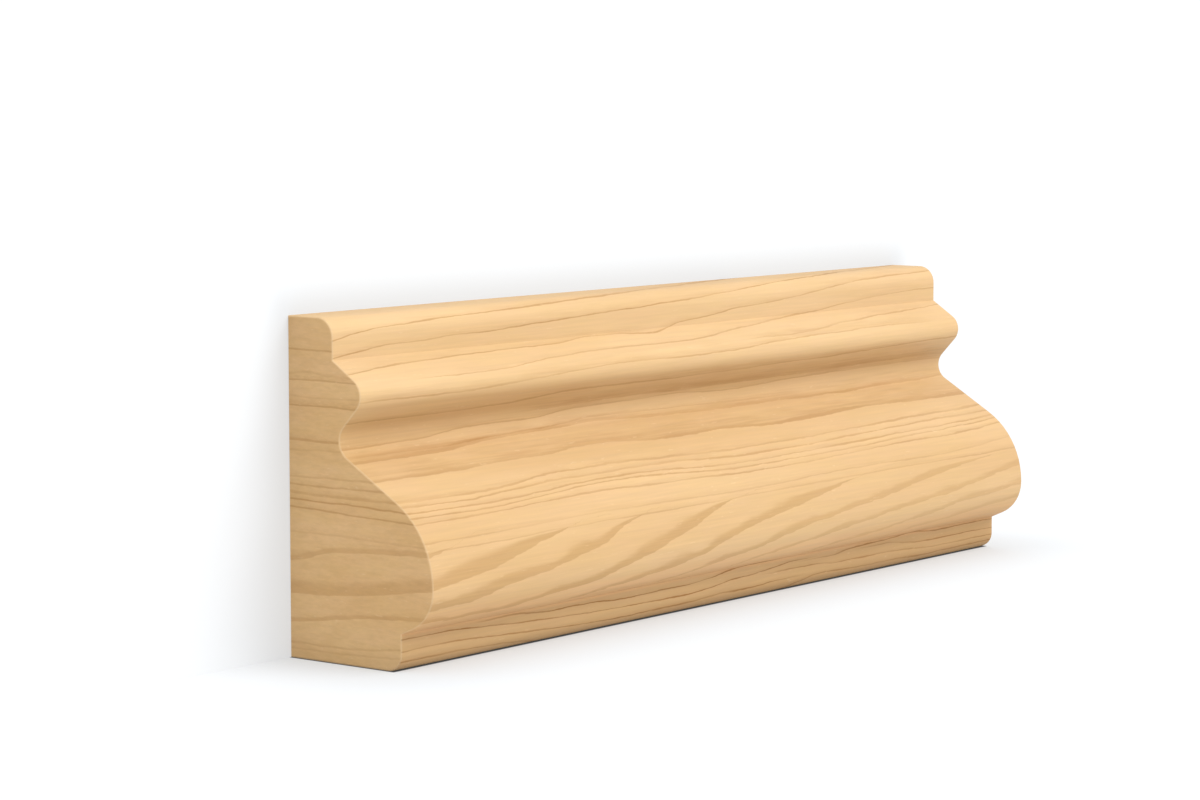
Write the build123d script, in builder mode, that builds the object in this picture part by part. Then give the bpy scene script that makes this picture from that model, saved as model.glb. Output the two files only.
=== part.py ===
"""Base cap moulding: one short length of clear pine, run through the moulder in one piece.

The moulding stands on the flat seat that goes on top of a skirting board. X runs along its length with
x = 0 at mid-length, the flat back that goes against the wall faces +Y, and the shaped front faces -Y.
The section's members are stacked from the seat upwards: base band, undercut, torus, ogee slope, cove,
bead, shoulder and top band. Depths are measured from the back. Sizes are in millimetres, angles in degrees.
"""
from build123d import *

import os
from math import radians, sin

# The stick
LENGTH = 161.0
DEPTH = 27.5            # back to the front of the torus
END_ARRIS = 0.3         # sanded edge round each sawn end

# Base band
BASE_SETBACK = 6.0      # from the front of the torus back to the face of the band
BASE_HEIGHT = 5.5
BASE_ROUND = 2.6

# Torus, with a tight round below its nose and a full one above
UNDERCUT_SLOPE = 24.0   # the underside's rise towards the front
UNDERCUT_RADIUS = 6.3
TORUS_RADIUS = 14.1

# Ogee slope and cove
OGEE_SLOPE = 31.0
COVE_RECESS = 4.1       # from the bead's nose back to the deepest line of the cove
COVE_RADIUS = 2.8

# Bead
BEAD_UNDERCUT = 47.0    # slope of the short flat between the cove and the bead
BEAD_PROJECTION = 5.3   # from the face of the top band out to the bead's nose
BEAD_RADIUS = 2.7
SHOULDER_SLOPE = 33.5

# Top band
TOP_DEPTH = 8.7
TOP_BAND = 6.1
TOP_ROUND = 2.9

# Depths that follow from the sizes above
base_depth = DEPTH - BASE_SETBACK
bead_depth = TOP_DEPTH + BEAD_PROJECTION
cove_depth = bead_depth - COVE_RECESS


def set_in(radius, slope):
    """How far a round's extreme line stands out past the point where a flat of that slope runs into it."""
    return radius * (1 - sin(radians(slope)))


# Horizontal run of each flat between the two rounds, or the corner and the round, that it joins
underside_run = BASE_SETBACK - set_in(UNDERCUT_RADIUS, UNDERCUT_SLOPE)
ogee_run = DEPTH - cove_depth - set_in(TORUS_RADIUS + COVE_RADIUS, OGEE_SLOPE)
bead_undercut_run = COVE_RECESS - set_in(COVE_RADIUS + BEAD_RADIUS, BEAD_UNDERCUT)
shoulder_run = BEAD_PROJECTION - set_in(BEAD_RADIUS, SHOULDER_SLOPE)

# Section plane: its x is the depth from the back, its y the height above the seat
section_plane = Plane(origin=(0, DEPTH / 2, 0), x_dir=(0, -1, 0), z_dir=(-1, 0, 0))

with BuildPart() as base_cap_moulding:
    with BuildSketch(section_plane):
        with BuildLine():
            seat = Line((0, 0), (base_depth - BASE_ROUND, 0))
            toe = JernArc(seat @ 1, seat % 1, BASE_ROUND, 90)
            base_band = Line(toe @ 1, (base_depth, BASE_HEIGHT))
            underside = PolarLine(
                base_band @ 1, underside_run, UNDERCUT_SLOPE, length_mode=LengthMode.HORIZONTAL
            )
            lower_torus = JernArc(underside @ 1, underside % 1, UNDERCUT_RADIUS, 90 - UNDERCUT_SLOPE)
            upper_torus = JernArc(lower_torus @ 1, lower_torus % 1, TORUS_RADIUS, 90 - OGEE_SLOPE)
            ogee = PolarLine(
                upper_torus @ 1, ogee_run, 180 - OGEE_SLOPE, length_mode=LengthMode.HORIZONTAL
            )
            cove = JernArc(ogee @ 1, ogee % 1, COVE_RADIUS, OGEE_SLOPE + BEAD_UNDERCUT - 180)
            bead_undercut = PolarLine(
                cove @ 1, bead_undercut_run, BEAD_UNDERCUT, length_mode=LengthMode.HORIZONTAL
            )
            bead = JernArc(
                bead_undercut @ 1, bead_undercut % 1, BEAD_RADIUS, 180 - BEAD_UNDERCUT - SHOULDER_SLOPE
            )
            shoulder = PolarLine(
                bead @ 1, shoulder_run, 180 - SHOULDER_SLOPE, length_mode=LengthMode.HORIZONTAL
            )
            top_band = PolarLine(shoulder @ 1, TOP_BAND - TOP_ROUND, 90)
            crown = JernArc(top_band @ 1, top_band % 1, TOP_ROUND, 90)
            top = PolarLine(crown @ 1, TOP_DEPTH - TOP_ROUND, 180)
            back = Line(top @ 1, seat @ 0)
        make_face()
    extrude(amount=LENGTH / 2, both=True)
    ends = faces().filter_by(Axis.X)
    fillet(ends.edges(), radius=END_ARRIS)

base_cap_moulding.part.label = "base_cap_moulding"

os.makedirs("parts", exist_ok=True)
export_step(base_cap_moulding.part, "parts/base_cap_moulding.step")
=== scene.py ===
from math import cos, pi, radians, sin

import bpy
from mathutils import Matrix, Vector


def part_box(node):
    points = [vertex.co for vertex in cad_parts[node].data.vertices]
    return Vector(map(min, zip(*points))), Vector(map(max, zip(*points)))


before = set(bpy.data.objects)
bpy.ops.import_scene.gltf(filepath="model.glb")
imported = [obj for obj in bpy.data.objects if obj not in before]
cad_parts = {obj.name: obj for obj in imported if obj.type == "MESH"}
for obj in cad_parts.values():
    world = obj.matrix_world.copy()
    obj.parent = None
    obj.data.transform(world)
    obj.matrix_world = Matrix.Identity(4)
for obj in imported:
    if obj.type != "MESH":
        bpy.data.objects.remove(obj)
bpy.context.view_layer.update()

# The piece, and its sizes in millimetres from the frame
MM = 0.001
NODE = "base_cap_moulding"
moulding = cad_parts[NODE]
low_corner, high_corner = (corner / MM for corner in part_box(NODE))
LENGTH = high_corner.x - low_corner.x
DEPTH = high_corner.y - low_corner.y
HEIGHT = high_corner.z - low_corner.z
BACK = high_corner.y
NEAR_END = low_corner.x
BASE_MIDDLE = 4.0

# The camera: a 36 mm sensor, its place in metres and the way it looks
LENS = 100.3
SENSOR = 36.0
CAMERA_PLACE = (-0.43355, -0.31793, 0.08507)
CAMERA_YAW = 52.142
CAMERA_PITCH = 5.607

# The light: white from all sides, and one wide soft key from the front right
AMBIENT = 0.88
KEY_STRENGTH = 1.22
KEY_WIDTH = 40.0
KEY_ELEVATION = 45.0
KEY_AZIMUTH = 20.0

# The floor and the wall behind: how white they look, the even light they give the piece, and the painted
# shadow on them near the piece and in the crevice under its foot
STAGE_SIZE = 4.0
STAGE_TINT = (0.95, 1.0, 1.05, 1)
STAGE_LIGHT = 0.76
SHADE_REACH = 12.0
GAP_DEPTH = 1.5
GAP_REACH = 0.5
FLOOR = {"white": 0.6, "glow": 0.42, "low_reach": 28.0, "high_reach": 28.0,
         "near": 0.91, "under": 0.1, "shade": 0.5}
WALL = {"white": 0.45, "glow": 0.57, "low_reach": 28.0, "high_reach": 6.0,
        "near": 0.88, "under": 1.0, "shade": 0.65}
WALL_LAP = 0.0006

# Colours of planed pine, linear
PALE = (0.86, 0.582, 0.308, 1)
WARM = (0.82, 0.54, 0.272, 1)
BAND = (0.68, 0.418, 0.185, 1)
LINE = (0.505, 0.256, 0.08, 1)
FLECK = (0.93, 0.68, 0.40, 1)
YELLOW = (0.995, 1.005, 0.965, 1)
# Pale of the eased end edges: partly wear, partly a painted highlight
WORN_AND_HIGHLIGHT = (0.92, 0.68, 0.41, 1)

# Tints: painted shade darkens the wood by height, most on the base band and over the ogee and cove; painted
# warm bounce light lifts it under the torus and at the foot's bottom edge; the ends are duller end grain
PAINTED_SHADE = (0.815, 0.756, 0.672, 1)
PAINTED_SHADE_BY_HEIGHT = ((0, 1.0), (4.2, 0.95), (5.6, 0.25), (7.0, 0.12), (9, 0.3), (12, 0.35), (15, 0.4),
                  (20, 0.5), (24, 0.25), (26.5, 0.45), (29.5, 0.55), (32, 0.6), (36, 0.2), (38.6, 0.0),
                  (41, 0.05), (46, 0.1), (50, 0.05))
# Painted warm bounce light: lifts and warms the wood under the torus and at the foot's bottom edge
PAINTED_BOUNCE = (1.14, 1.04, 0.98, 1)
PAINTED_BOUNCE_BY_HEIGHT = ((0, 0.6), (1.5, 0.4), (3.0, 0.0), (4.8, 0.0), (5.8, 1.0), (7.6, 0.9), (9.5, 0.2),
                   (11, 0.0))
END_GRAIN = (0.955, 0.908, 0.835, 1)
END_STREAK = (0.955, 0.94, 0.91, 1)


class Web:
    """Adds nodes to one tree; each method returns the new node's output."""

    def __init__(self, tree):
        self.tree = tree

    def add(self, kind, inputs=None, **settings):
        node = self.tree.nodes.new(kind)
        for name, value in settings.items():
            setattr(node, name, value)
        for key, value in (inputs or {}).items():
            self.feed(node.inputs[key], value)
        return node

    def feed(self, socket, value):
        if isinstance(value, bpy.types.NodeSocket):
            self.tree.links.new(value, socket)
        else:
            socket.default_value = value

    def math(self, operation, *values, clamp=False):
        inputs = dict(enumerate(values))
        return self.add("ShaderNodeMath", inputs, operation=operation, use_clamp=clamp).outputs[0]

    def ramp(self, value, start, end, low=0.0, high=1.0, smooth=True):
        inputs = {"Value": value, "From Min": start, "From Max": end, "To Min": low, "To Max": high}
        kind = "SMOOTHSTEP" if smooth else "LINEAR"
        return self.add("ShaderNodeMapRange", inputs, interpolation_type=kind).outputs[0]

    def vector(self, x, y, z):
        return self.add("ShaderNodeCombineXYZ", {"X": x, "Y": y, "Z": z}).outputs[0]

    def noise(self, place, scale, detail=2.0, roughness=0.5):
        inputs = {"Vector": place, "Scale": scale, "Detail": detail, "Roughness": roughness}
        return self.add("ShaderNodeTexNoise", inputs).outputs["Fac"]

    def mix(self, factor, first, second, blend="MIX"):
        inputs = {"Factor": factor, 6: first, 7: second}
        return self.add("ShaderNodeMix", inputs, data_type="RGBA", blend_type=blend).outputs[2]

    def curve(self, value, points):
        """A smooth curve through points, level beyond its ends; both axes run from 0 to 1."""
        node = self.add("ShaderNodeFloatCurve", {"Value": value})
        node.mapping.extend = "HORIZONTAL"
        line = node.mapping.curves[0].points
        while len(line) < len(points):
            line.new(0.5, 0.5)
        for point, place in zip(line, points):
            point.location = place
            point.handle_type = "AUTO_CLAMPED"
        node.mapping.update()
        return node.outputs[0]


def new_material(name):
    material = bpy.data.materials.new(name)
    material.use_nodes = True
    material.node_tree.nodes.clear()
    return material, Web(material.node_tree)


# Unevenness of the lines: features per millimetre along and across the grain, and size in millimetres
WAVES = ((0.03, 0.1, 0.8), (0.16, 0.5, 0.34), (0.5, 2.6, 0.2))
BAND_WAVES = ((0.1, 0.35, 0.9), (0.3, 2.4, 0.55))
END_WAVES = ((0.03, 0.6, 0.5), (0.03, 2.0, 0.25))
ACROSS_DEPTH = 0.25

# Growth lines: (distance from the near end, height) on the front, how far the line drops from
# the front to the back, its width, the reach of its feather, and how dark both are
GROWTH_LINES = (
    (((0, 46.7), (4, 47.3), (10, 47.9), (20, 48.4), (30, 48.8), (43, 49.2), (55, 49.7), (75, 50.3),
      (130, 52)), 1.5, 0.2, 0.9, 0.7, 0.15),
    (((0, 44.1), (4, 44.6), (9, 45.2), (22, 45.6), (27, 46.0), (37, 46.1), (45, 46.5), (60, 47.1),
      (75, 47.6), (90, 48.3), (100, 48.8), (108, 49.4), (122, 50.1), (160, 51.5)), 1.5, 0.2, 1.2, 0.8, 0.18),
    (((0, 41.85), (10, 42.6), (22, 43.0), (40, 43.45), (48, 43.45), (60, 43.85), (68, 43.75), (75, 43.5),
      (79, 43.9), (84, 44.8), (92, 45.3), (100, 46.05), (106, 46.3), (122, 47.6), (130, 48.4), (140, 49.0),
      (160, 49.6)), 1.0, 0.2, 1.2, 0.62, 0.18),
    (((22, 40.6), (35, 40.95), (40, 41.25), (58, 41.8), (68, 41.8), (88, 42.2), (95, 42.7), (102, 43.0),
      (108, 43.5), (122, 44.4), (140, 45.7), (155, 46.4), (160, 46.4)), 0.8, 0.18, 1.0, 0.55, 0.12),
    (((5, 38.1), (16, 38.0), (40, 38.75), (58, 39.5), (66, 39.65), (80, 39.5), (95, 39.75), (104, 40.2),
      (112, 40.5), (122, 40.7), (135, 40.9), (145, 40.9)), 1.2, 0.22, 1.6, 0.5, 0.2),
    (((106, 41.0), (112, 41.15), (120, 41.55), (124, 42.0), (132, 42.35), (140, 42.65), (150, 42.95),
      (160, 43.45)), 1.0, 0.2, 1.2, 0.5, 0.15),
    (((0, 34.8), (37, 35.2), (50, 35.9), (80, 36.1), (110, 36.4), (135, 37.0), (160, 37.6)),
     0.2, 0.26, 1.4, 0.5, 0.2),
    (((50, 33.5), (80, 33.8), (100, 33.8), (130, 34.1), (150, 34.5)), 0.0, 0.9, 2.4, 0.35, 0.25),
    (((0, 30.95), (17, 31.2), (27, 31.9), (45, 32.25), (52, 32.8), (72, 32.95), (80, 33.25), (88, 32.85),
      (97, 32.6), (106, 32.85), (113, 33.15), (135, 33.4), (160, 33.6)), -0.8, 0.25, 1.5, 0.5, 0.24),
    (((0, 29.75), (20, 29.95), (40, 30.3), (50, 30.6), (57, 31.05), (68, 30.9), (85, 30.8), (105, 30.5)),
     -0.8, 0.24, 0.8, 0.4, 0.12),
    (((0, 29.1), (16, 29.2), (30, 29.75), (50, 30.15), (57, 30.4), (65, 30.1), (95, 29.85), (120, 29.85),
      (160, 30.3)), -0.8, 0.5, 1.7, 0.45, 0.24),
    (((0, 26.85), (20, 27.0), (32, 27.2), (40, 27.1), (50, 27.6), (57, 27.6), (65, 27.15), (72, 27.05),
      (85, 27.25), (97, 27.05), (110, 27.2), (132, 27.6), (145, 27.45), (160, 27.5)),
     -0.6, 0.45, 2.2, 0.55, 0.32),
    (((0, 24.2), (20, 24.2), (30, 24.6), (45, 25.0), (80, 24.6), (120, 25.0), (160, 25.5)),
     -0.9, 0.24, 0.9, 0.48, 0.18),
    (((0, 23.6), (13, 23.5), (28, 23.9), (50, 24.15), (66, 24.15), (82, 23.7), (130, 24.3), (160, 24.7)),
     -0.5, 0.2, 0.6, 0.55, 0.15),
    (((0, 22.8), (16, 22.75), (50, 23.4), (66, 23.2), (80, 22.8), (100, 22.95), (140, 23.5), (160, 23.9)),
     -0.6, 0.2, 0.8, 0.58, 0.15),
    (((0, 22.15), (13, 22.1), (50, 22.95), (66, 22.6), (80, 22.1), (100, 22.25), (140, 22.9), (160, 23.4)),
     -0.7, 0.18, 0.5, 0.55, 0.12),
    (((0, 21.3), (50, 21.8), (66, 21.65), (85, 21.3), (120, 21.85), (145, 22.05), (160, 22.6)),
     -0.8, 0.2, 0.9, 0.55, 0.15),
    (((0, 18.8), (50, 19.1), (80, 18.9), (110, 19.4), (130, 19.2), (160, 20.2)), 0.1, 0.2, 0.9, 0.32, 0.12),
    (((0, 17.6), (40, 17.8), (75, 17.95), (90, 18.05), (160, 18.3)), 0.2, 0.2, 0.9, 0.36, 0.12),
    (((25, 5.1), (36, 4.5), (44, 4.5), (50, 4.15), (68, 4.3), (74, 4.6), (80, 5.2), (85, 5.6)),
     0.6, 0.17, 0.8, 1.2, 0.15),
    (((0, 4.8), (10, 4.7), (20, 4.15), (26, 3.7), (36, 3.3), (48, 2.9), (67, 2.7), (74, 3.0), (80, 3.6),
      (86, 3.8), (92, 4.3), (97, 4.7)), 1.0, 0.18, 0.8, 1.2, 0.15),
    (((0, 3.0), (10, 3.0), (20, 2.55), (28, 2.1), (40, 1.6), (55, 1.3), (68, 1.35), (78, 1.8), (86, 1.8),
      (92, 2.1)), 4.0, 0.2, 0.8, 0.9, 0.15),
    (((0, 1.5), (12, 1.45), (20, 1.2), (26, 0.9), (40, -0.5), (90, -0.5), (100, 1.0), (106, 1.8), (116, 1.5),
      (130, 1.6), (138, 1.3), (160, 1.25)), 4.0, 0.2, 0.8, 0.7, 0.1),
    (((110, 4.4), (114, 4.8), (120, 5.1), (127, 5.2), (134, 5.7), (140, 5.25), (145, 5.1), (152, 5.2),
      (160, 5.1)), 0.8, 0.18, 0.8, 1.0, 0.15),
    (((99, 3.5), (104, 3.45), (112, 3.05), (130, 3.1), (138, 2.6), (148, 2.35), (160, 2.3)),
     4.0, 0.18, 0.8, 0.75, 0.12),
    (((127, 4.6), (132, 4.2), (140, 3.65), (150, 3.65), (160, 3.55)), 0.8, 0.18, 0.8, 0.9, 0.15),
)

# Growth lines on the ends: (depth from the back, height), then width, feather and how dark both are
END_LINES = (
    (((0, 45.2), (9, 45.15)), 0.25, 0.8, 0.4, 0.1),
    (((0, 41.5), (4, 41.9), (8, 41.6), (13, 41.5)), 0.35, 0.7, 0.22, 0.1),
    (((0, 40.75), (6, 40.85), (13, 40.7)), 0.3, 1.6, 0.45, 0.22),
    (((0, 38.5), (6, 38.3), (13, 38.4)), 0.3, 0.8, 0.18, 0.08),
    (((0, 37.1), (8, 37.1), (13, 37.0)), 0.3, 1.6, 0.5, 0.25),
    (((0, 32.1), (5, 31.95), (10, 32.0)), 0.5, 1.0, 0.45, 0.2),
    (((0, 30.6), (11, 30.7)), 0.3, 0.9, 0.18, 0.1),
    (((0, 26.6), (8, 26.8), (17, 26.7)), 0.3, 0.8, 0.25, 0.1),
    (((0, 25.6), (9, 25.5), (18, 25.6)), 0.3, 0.9, 0.4, 0.15),
    (((0, 24.3), (6, 24.2), (21, 24.1)), 0.5, 1.0, 0.3, 0.2),
    (((0, 23.4), (12, 23.15), (22, 22.9)), 0.25, 0.8, 0.6, 0.15),
    (((0, 22.3), (12, 21.8), (23, 21.5)), 0.25, 0.8, 0.5, 0.15),
    (((0, 18.6), (14, 18.5), (26, 18.1)), 0.35, 1.2, 0.2, 0.12),
    (((0, 14.4), (4, 15.1), (8, 16.1), (14, 16.6), (26, 17.0)), 1.0, 1.6, 0.33, 0.2),
    (((0, 9.6), (8, 9.9), (14, 10.4), (20, 11.2), (27, 12.2)), 2.5, 3.2, 0.34, 0.2),
    (((0, 5.4), (4, 5.8), (10, 6.6), (17, 7.25), (25, 7.7)), 0.8, 1.4, 0.36, 0.18),
    (((0, 2.3), (10, 2.3), (21, 3.1)), 0.3, 0.9, 0.25, 0.1),
    (((0, 1.4), (10, 1.5), (21, 1.9)), 0.3, 0.6, 0.2, 0.1),
)
LINE_EDGE = 0.08
END_EDGE = 0.15
END_RISE = 2.5
FADE = 12.0
CURVE_LOW = -10.0
CURVE_SPAN = 70.0

# Broad late wood on the torus, rising to the right, with its strength and how thick it swells
LATE_BANDS = (
    (((0, 16.9), (6, 17.9), (12, 19.5)), 0.8, 1.0),
    (((0, 12.5), (5, 13.0), (12, 13.8), (20, 15.5), (28, 17.2), (36, 18.8)), 1.0, 1.45),
    (((0, 9.4), (10, 10.0), (20, 11.6), (26, 12.2), (36, 14.0), (40, 14.7), (44, 16.2), (48, 17.4),
      (53, 18.6)), 1.0, 1.0),
    (((0, 7.3), (10, 7.1), (20, 7.4), (30, 8.3), (40, 9.4), (50, 11.6), (60, 13.9), (70, 16.8),
      (81, 18.6)), 1.0, 1.05),
    (((32, 5.8), (42, 6.8), (60, 8.7), (70, 11.0), (80, 13.1), (90, 14.6), (103, 16.5), (112, 17.7),
      (119, 18.6)), 0.9, 1.1),
    (((56, 5.8), (70, 7.7), (80, 8.9), (88, 10.4), (100, 11.9), (114, 13.3), (134, 15.8), (150, 17.2),
      (160, 18.0)), 0.75, 0.85),
    (((72, 5.8), (85, 7.4), (97, 8.6), (105, 9.5), (115, 10.5), (125, 11.3), (143, 12.8), (150, 13.7),
      (160, 14.8)), 0.65, 0.75),
    (((95, 5.8), (108, 7.0), (118, 7.8), (130, 9.0), (140, 10.0), (150, 10.7), (160, 11.3)), 0.55, 0.75),
    (((118, 5.8), (130, 7.0), (140, 7.6), (150, 8.5), (160, 9.0)), 0.45, 0.75),
)
BAND_DROP = 2.2
BAND_WIDTH = 1.7
BAND_FEATHER = 2.4
BAND_VEIL = 0.45
BAND_EDGE = 0.1
BAND_THICKNESS = ((6.4, 0.0), (7.4, 0.32), (10, 0.68), (13, 0.95), (15.5, 1.0), (17, 0.7), (18, 0.0))


def line_group():
    """One growth line across the grain: a sharp lower edge, a dark core and a feather above."""
    tree = bpy.data.node_groups.new("growth_line", "ShaderNodeTree")
    for name in ("Above", "Edge", "Width", "Feather", "Core", "Veil"):
        tree.interface.new_socket(name, in_out="INPUT", socket_type="NodeSocketFloat")
    for name in ("Core", "Veil"):
        tree.interface.new_socket(name, in_out="OUTPUT", socket_type="NodeSocketFloat")
    web = Web(tree)
    given = web.add("NodeGroupInput").outputs
    edge = web.ramp(given["Above"], web.math("MULTIPLY", given["Edge"], -1.0), 0.0)
    level_end = web.math("MULTIPLY", given["Width"], 0.4)
    core = web.ramp(given["Above"], level_end, given["Width"], given["Core"], 0.0)
    veil = web.ramp(given["Above"], 0.0, given["Feather"], given["Veil"], 0.0)
    core = web.math("MULTIPLY", core, edge)
    veil = web.math("MULTIPLY", veil, edge)
    web.add("NodeGroupOutput", {"Core": core, "Veil": veil})
    return tree


def front_depth(height):
    """Depth of the wood from the back to the front face at a height, in millimetres."""
    hit, place, normal, face = moulding.ray_cast((0, -1, height * MM), (0, 1, 0))
    return BACK - place.y / MM if hit else 0.0


def pine():
    """Planed pine with its growth lines running through the solid wood."""
    material, web = new_material("pine")
    position = web.add("ShaderNodeTexCoord").outputs["Object"]
    millimetres = web.add("ShaderNodeVectorMath", {0: position, "Scale": 1 / MM}, operation="SCALE")
    axes = web.add("ShaderNodeSeparateXYZ", {0: millimetres.outputs[0]}).outputs
    along = web.math("SUBTRACT", axes["X"], NEAR_END)
    share = web.math("DIVIDE", along, LENGTH)
    depth = web.math("SUBTRACT", BACK, axes["Y"])
    inward = web.math("DIVIDE", depth, DEPTH)

    def grain_noise(lengthwise, across, detail=2.0, roughness=0.5):
        """Noise drawn out along the length; both sizes are features per millimetre."""
        sizes = (lengthwise, across * ACROSS_DEPTH, across)
        inputs = {0: millimetres.outputs[0], 1: sizes}
        stretched = web.add("ShaderNodeVectorMath", inputs, operation="MULTIPLY")
        return web.noise(stretched.outputs[0], 1.0, detail, roughness)

    normal = web.add("ShaderNodeNewGeometry").outputs["Normal"]
    normal = web.add("ShaderNodeSeparateXYZ", {0: normal}).outputs
    facing = web.math("ABSOLUTE", normal["X"])
    on_end = web.ramp(facing, 0.6, 0.95)
    off_back = web.ramp(normal["Y"], 0.5, 0.9, 1.0, 0.0)

    def waved(level, waves):
        """A height made uneven by waves along the grain."""
        for lengthwise, across, size in waves:
            wave = web.math("SUBTRACT", grain_noise(lengthwise, across), 0.5)
            level = web.math("MULTIPLY_ADD", wave, size, level)
        return level

    # Waves that neighbouring lines share, then the ragged edge that cut fibres give
    height = waved(axes["Z"], WAVES)
    band_height = waved(axes["Z"], BAND_WAVES)
    end_height = waved(web.math("MULTIPLY_ADD", share, -END_RISE, axes["Z"]), END_WAVES)

    strength = web.ramp(grain_noise(0.05, 0.6), 0.32, 0.62, 0.5, 1.0)
    swell = web.ramp(grain_noise(0.09, 0.8), 0.3, 0.7, 0.65, 1.5)
    group = line_group()

    def line(run, span, points, drop, width, feather, core, veil, edge, thickness, ragged):
        slope = drop / front_depth(points[0][1])
        spots = [(place / span, (z - drop - CURVE_LOW) / CURVE_SPAN) for place, z in points]
        above = web.math("MULTIPLY_ADD", web.curve(run, spots), -CURVE_SPAN, ragged)
        above = web.math("SUBTRACT", above, CURVE_LOW)
        above = web.math("MULTIPLY_ADD", depth, -slope, above)
        above = web.math("DIVIDE", above, thickness)
        first, last = points[0][0], points[-1][0]
        if first > 0:
            core = web.ramp(run, (first - FADE) / span, first / span, 0.0, core)
            veil = web.ramp(run, (first - FADE) / span, first / span, 0.0, veil)
        if last + FADE < span:
            core = web.ramp(run, last / span, (last + FADE) / span, core, 0.0)
            veil = web.ramp(run, last / span, (last + FADE) / span, veil, 0.0)
        inputs = {"Above": above, "Edge": edge, "Width": width,
                  "Feather": feather, "Core": core, "Veil": veil}
        return web.add("ShaderNodeGroup", inputs, node_tree=group).outputs

    front_core, front_veil = 0.0, 0.0
    for row in GROWTH_LINES:
        drawn = line(share, LENGTH, *row, LINE_EDGE, swell, height)
        front_core = web.math("ADD", drawn["Core"], front_core)
        front_veil = web.math("ADD", drawn["Veil"], front_veil)
    end_core, end_veil = 0.0, 0.0
    for points, *looks in END_LINES:
        drawn = line(inward, DEPTH, points, 0.0, *looks, END_EDGE, 1.0, end_height)
        end_core = web.math("ADD", drawn["Core"], end_core)
        end_veil = web.math("ADD", drawn["Veil"], end_veil)

    spots = [(z / HEIGHT, t) for z, t in BAND_THICKNESS]
    tilted = web.math("MULTIPLY_ADD", depth, -BAND_DROP / DEPTH, axes["Z"])
    tilted = web.math("ADD", tilted, BAND_DROP)
    thickness = web.curve(web.math("DIVIDE", tilted, HEIGHT), spots)
    thickness = web.math("MULTIPLY", thickness, web.ramp(grain_noise(0.07, 0.2), 0.3, 0.7, 0.7, 1.5))
    thickness = web.math("MAXIMUM", thickness, 0.002)
    band = 0.0
    for points, darkness, swelling in LATE_BANDS:
        thick = web.math("MULTIPLY", thickness, swelling)
        looks = (BAND_DROP, BAND_WIDTH, BAND_FEATHER, darkness, darkness * BAND_VEIL, BAND_EDGE)
        drawn = line(share, LENGTH, points, *looks, thick, band_height)
        strongest = web.math("MAXIMUM", drawn["Core"], drawn["Veil"])
        band = web.math("ADD", strongest, band)

    # Slow changes of tone, and fine fibres along the length
    tone = web.ramp(grain_noise(0.012, 0.14, 3.0), 0.35, 0.65)
    fibre = grain_noise(0.07, 2.4, 4.0, 0.6)
    streak = web.ramp(grain_noise(0.1, 3.5, 3.0), 0.3, 0.7, 0.4, 1.3)

    on_front = web.math("SUBTRACT", 1.0, on_end)
    core = web.math("MULTIPLY", front_core, web.math("MULTIPLY", strength, on_front))
    core = web.math("MULTIPLY_ADD", end_core, on_end, core)
    veil = web.math("MULTIPLY", front_veil, on_front)
    veil = web.math("MULTIPLY_ADD", end_veil, on_end, veil)
    dark = web.math("MAXIMUM", core, web.math("MULTIPLY", veil, streak), clamp=True)
    band = web.math("MULTIPLY", band, web.ramp(streak, 0.4, 1.3, 0.85, 1.0))
    band = web.math("MULTIPLY", band, on_front, clamp=True)

    def by_height(table):
        """A share that changes over the height of the piece, and is nothing on the flat back."""
        value = web.curve(web.math("DIVIDE", axes["Z"], HEIGHT), [(z / HEIGHT, value) for z, value in table])
        return web.math("MULTIPLY", value, off_back)

    colour = web.mix(tone, PALE, WARM)
    colour = web.mix(band, colour, BAND)
    colour = web.mix(dark, colour, LINE)
    # Painted shade by height, darkest on the base band and in the cove
    front_colour = web.mix(by_height(PAINTED_SHADE_BY_HEIGHT), colour, web.mix(1.0, colour, PAINTED_SHADE, "MULTIPLY"))
    # Painted warm bounce light under the torus and at the foot's bottom edge
    bounce_lit_colour = web.mix(1.0, front_colour, PAINTED_BOUNCE, "MULTIPLY")
    front_colour = web.mix(by_height(PAINTED_BOUNCE_BY_HEIGHT), front_colour, bounce_lit_colour)
    end_streak = web.ramp(grain_noise(0.03, 1.1, 4.0, 0.6), 0.4, 0.65)
    end_tint = web.mix(1.0, END_GRAIN, web.mix(end_streak, (1, 1, 1, 1), END_STREAK), "MULTIPLY")
    end_colour = web.mix(1.0, colour, end_tint, "MULTIPLY")
    colour = web.mix(on_end, front_colour, end_colour)
    mottle = web.ramp(grain_noise(0.09, 0.45, 4.0, 0.65), 0.35, 0.65)
    colour = web.mix(mottle, colour, web.mix(1.0, colour, YELLOW, "MULTIPLY"))
    fleck = web.ramp(grain_noise(0.45, 3.0, 2.0), 0.66, 0.76, 0.0, 0.25)
    colour = web.mix(fleck, colour, FLECK)
    shade = web.ramp(fibre, 0.25, 0.75, 0.95, 1.05, smooth=False)
    colour = web.mix(1.0, colour, web.vector(shade, shade, shade), "MULTIPLY")

    # The eased edge round each end is painted pale: partly wear, partly a painted highlight where the
    # rounded edge catches the light
    worn_and_highlit_edge = web.math("MULTIPLY", web.ramp(facing, 0.1, 0.4), web.ramp(facing, 0.98, 0.85))
    colour = web.mix(web.math("MULTIPLY", worn_and_highlit_edge, 0.3), colour, WORN_AND_HIGHLIGHT)

    bump = web.add("ShaderNodeBump", {"Height": fibre, "Strength": 0.12, "Distance": 0.00005}).outputs[0]
    rough = web.ramp(fibre, 0.3, 0.7, 0.52, 0.62, smooth=False)
    shader = web.add("ShaderNodeBsdfPrincipled", {"Base Color": colour, "Roughness": rough,
                                                  "Specular IOR Level": 0.3, "Normal": bump})
    web.add("ShaderNodeOutputMaterial", {"Surface": shader.outputs[0]})
    return material


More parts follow.
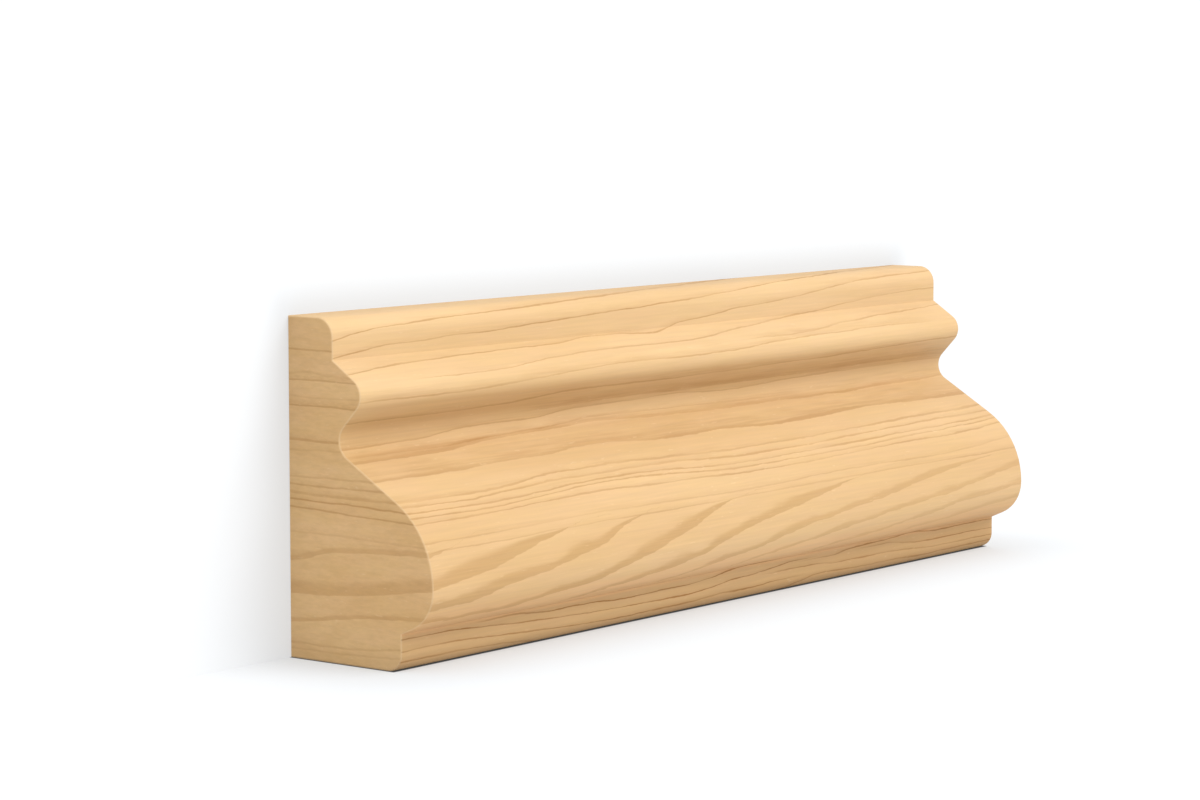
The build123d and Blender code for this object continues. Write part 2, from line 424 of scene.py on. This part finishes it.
def stage_material(name, white, glow, low_reach, high_reach, near, under, shade):
    """Plain white that keeps the cast shadow, with a painted shadow near the piece, darkest in the crevice
    under its foot; gives less light near the piece, and is clear from behind.
    """
    material, web = new_material(name)
    path = web.add("ShaderNodeLightPath").outputs
    seen = web.math("ADD", path["Is Camera Ray"], path["Is Glossy Ray"])
    seen = web.math("ADD", seen, path["Is Transmission Ray"], clamp=True)
    geometry = web.add("ShaderNodeNewGeometry").outputs
    place = web.add("ShaderNodeVectorMath", {0: geometry["Position"], "Scale": 1 / MM}, operation="SCALE")
    axes = web.add("ShaderNodeSeparateXYZ", {0: place.outputs[0]}).outputs
    past_end = web.math("SUBTRACT", web.math("ABSOLUTE", axes["X"]), LENGTH / 2)
    past_front = web.math("SUBTRACT", BACK - front_depth(BASE_MIDDLE) + GAP_DEPTH, axes["Y"])
    past_back = web.math("SUBTRACT", axes["Y"], BACK)
    past_top = web.math("SUBTRACT", axes["Z"], HEIGHT)
    beside = web.vector(past_end, web.math("MAXIMUM", past_front, past_back), past_top)
    beside = web.add("ShaderNodeVectorMath", {0: beside, 1: (0, 0, 0)}, operation="MAXIMUM")
    beside = web.add("ShaderNodeVectorMath", {0: beside.outputs[0]}, operation="LENGTH").outputs["Value"]

    bounced = web.ramp(path["Ray Depth"], 1.0, 5.0, STAGE_LIGHT, 0.0, smooth=False)
    light = web.math("MULTIPLY", web.ramp(beside, 0.0, SHADE_REACH, shade), bounced)
    # Painted shadow: near the piece the white and glow that the camera sees are darkened, to nearly black in
    # the crevice under the foot
    reach = web.ramp(axes["Z"], 0.0, HEIGHT, low_reach, high_reach, smooth=False)
    clear_of_painted_shadow = web.ramp(beside, 0.0, GAP_REACH, under)
    clear_of_painted_shadow = web.math("MULTIPLY", clear_of_painted_shadow, web.ramp(beside, 0.0, reach, near))
    shine = web.math("MULTIPLY", clear_of_painted_shadow, glow)
    tone = web.math("MULTIPLY", web.math("MULTIPLY", seen, clear_of_painted_shadow), white)
    tone = web.mix(1.0, web.vector(tone, tone, tone), STAGE_TINT, "MULTIPLY")
    surface = web.add("ShaderNodeBsdfDiffuse", {"Color": tone})
    glowing = web.add("ShaderNodeEmission", {"Strength": web.ramp(seen, 0.0, 1.0, light, shine)})
    lit = web.add("ShaderNodeAddShader", {0: surface.outputs[0], 1: glowing.outputs[0]})
    clear = web.add("ShaderNodeBsdfTransparent")
    inputs = {0: geometry["Backfacing"], 1: lit.outputs[0], 2: clear.outputs[0]}
    both = web.add("ShaderNodeMixShader", inputs)
    web.add("ShaderNodeOutputMaterial", {"Surface": both.outputs[0]})
    return material


def stage_object(name, corners, faces, material):
    mesh = bpy.data.meshes.new(name)
    mesh.from_pydata(corners, [], faces)
    mesh.materials.append(material)
    stage = bpy.data.objects.new(name, mesh)
    bpy.context.scene.collection.objects.link(stage)


def make_stage():
    """A floor, and a wall round the outline of the flat back, which is left open."""
    s = STAGE_SIZE / 2
    floor = [(-s, -s, 0), (s, -s, 0), (s, s, 0), (-s, s, 0)]
    stage_object("floor", floor, [(0, 1, 2, 3)], stage_material("floor_white", **FLOOR))
    low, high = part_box(NODE)
    left, right, top = low.x + WALL_LAP, high.x - WALL_LAP, high.z - WALL_LAP
    outline = [(-s, 0), (left, 0), (left, top), (right, top), (right, 0), (s, 0), (s, s), (-s, s)]
    wall = [(x, high.y, z) for x, z in outline]
    faces = [(0, 1, 2, 7), (7, 2, 3, 6), (3, 4, 5, 6)]
    stage_object("wall", wall, faces, stage_material("wall_white", **WALL))


def make_light():
    world = bpy.data.worlds.new("studio")
    world.use_nodes = True
    world.node_tree.nodes.clear()
    web = Web(world.node_tree)
    path = web.add("ShaderNodeLightPath").outputs
    seen = web.math("ADD", path["Is Camera Ray"], path["Is Glossy Ray"])
    seen = web.math("ADD", seen, path["Is Transmission Ray"], clamp=True)
    strength = web.ramp(seen, 0.0, 1.0, AMBIENT, 1.0, smooth=False)
    sky = web.add("ShaderNodeBackground", {"Color": (1, 1, 1, 1), "Strength": strength})
    web.add("ShaderNodeOutputWorld", {"Surface": sky.outputs[0]})
    world.cycles.max_bounces = 0
    bpy.context.scene.world = world

    lamp = bpy.data.lights.new("key", "SUN")
    lamp.energy = KEY_STRENGTH
    lamp.angle = radians(KEY_WIDTH)
    lamp.cycles.max_bounces = 0
    key = bpy.data.objects.new("key", lamp)
    e, a = radians(KEY_ELEVATION), radians(KEY_AZIMUTH)
    to_light = Vector((cos(e) * sin(a), -cos(e) * cos(a), sin(e)))
    key.rotation_euler = to_light.to_track_quat("Z", "Y").to_euler()
    bpy.context.scene.collection.objects.link(key)


def make_camera():
    data = bpy.data.cameras.new("camera")
    data.lens = LENS
    data.sensor_width = SENSOR
    data.clip_start = 0.01
    camera = bpy.data.objects.new("camera", data)
    camera.location = CAMERA_PLACE
    camera.rotation_euler = (pi / 2 - radians(CAMERA_PITCH), 0, -radians(CAMERA_YAW))
    bpy.context.scene.collection.objects.link(camera)
    bpy.context.scene.camera = camera


moulding.data.materials.clear()
moulding.data.materials.append(pine())
make_stage()
make_light()
make_camera()
bpy.context.scene.view_settings.view_transform = "Standard"
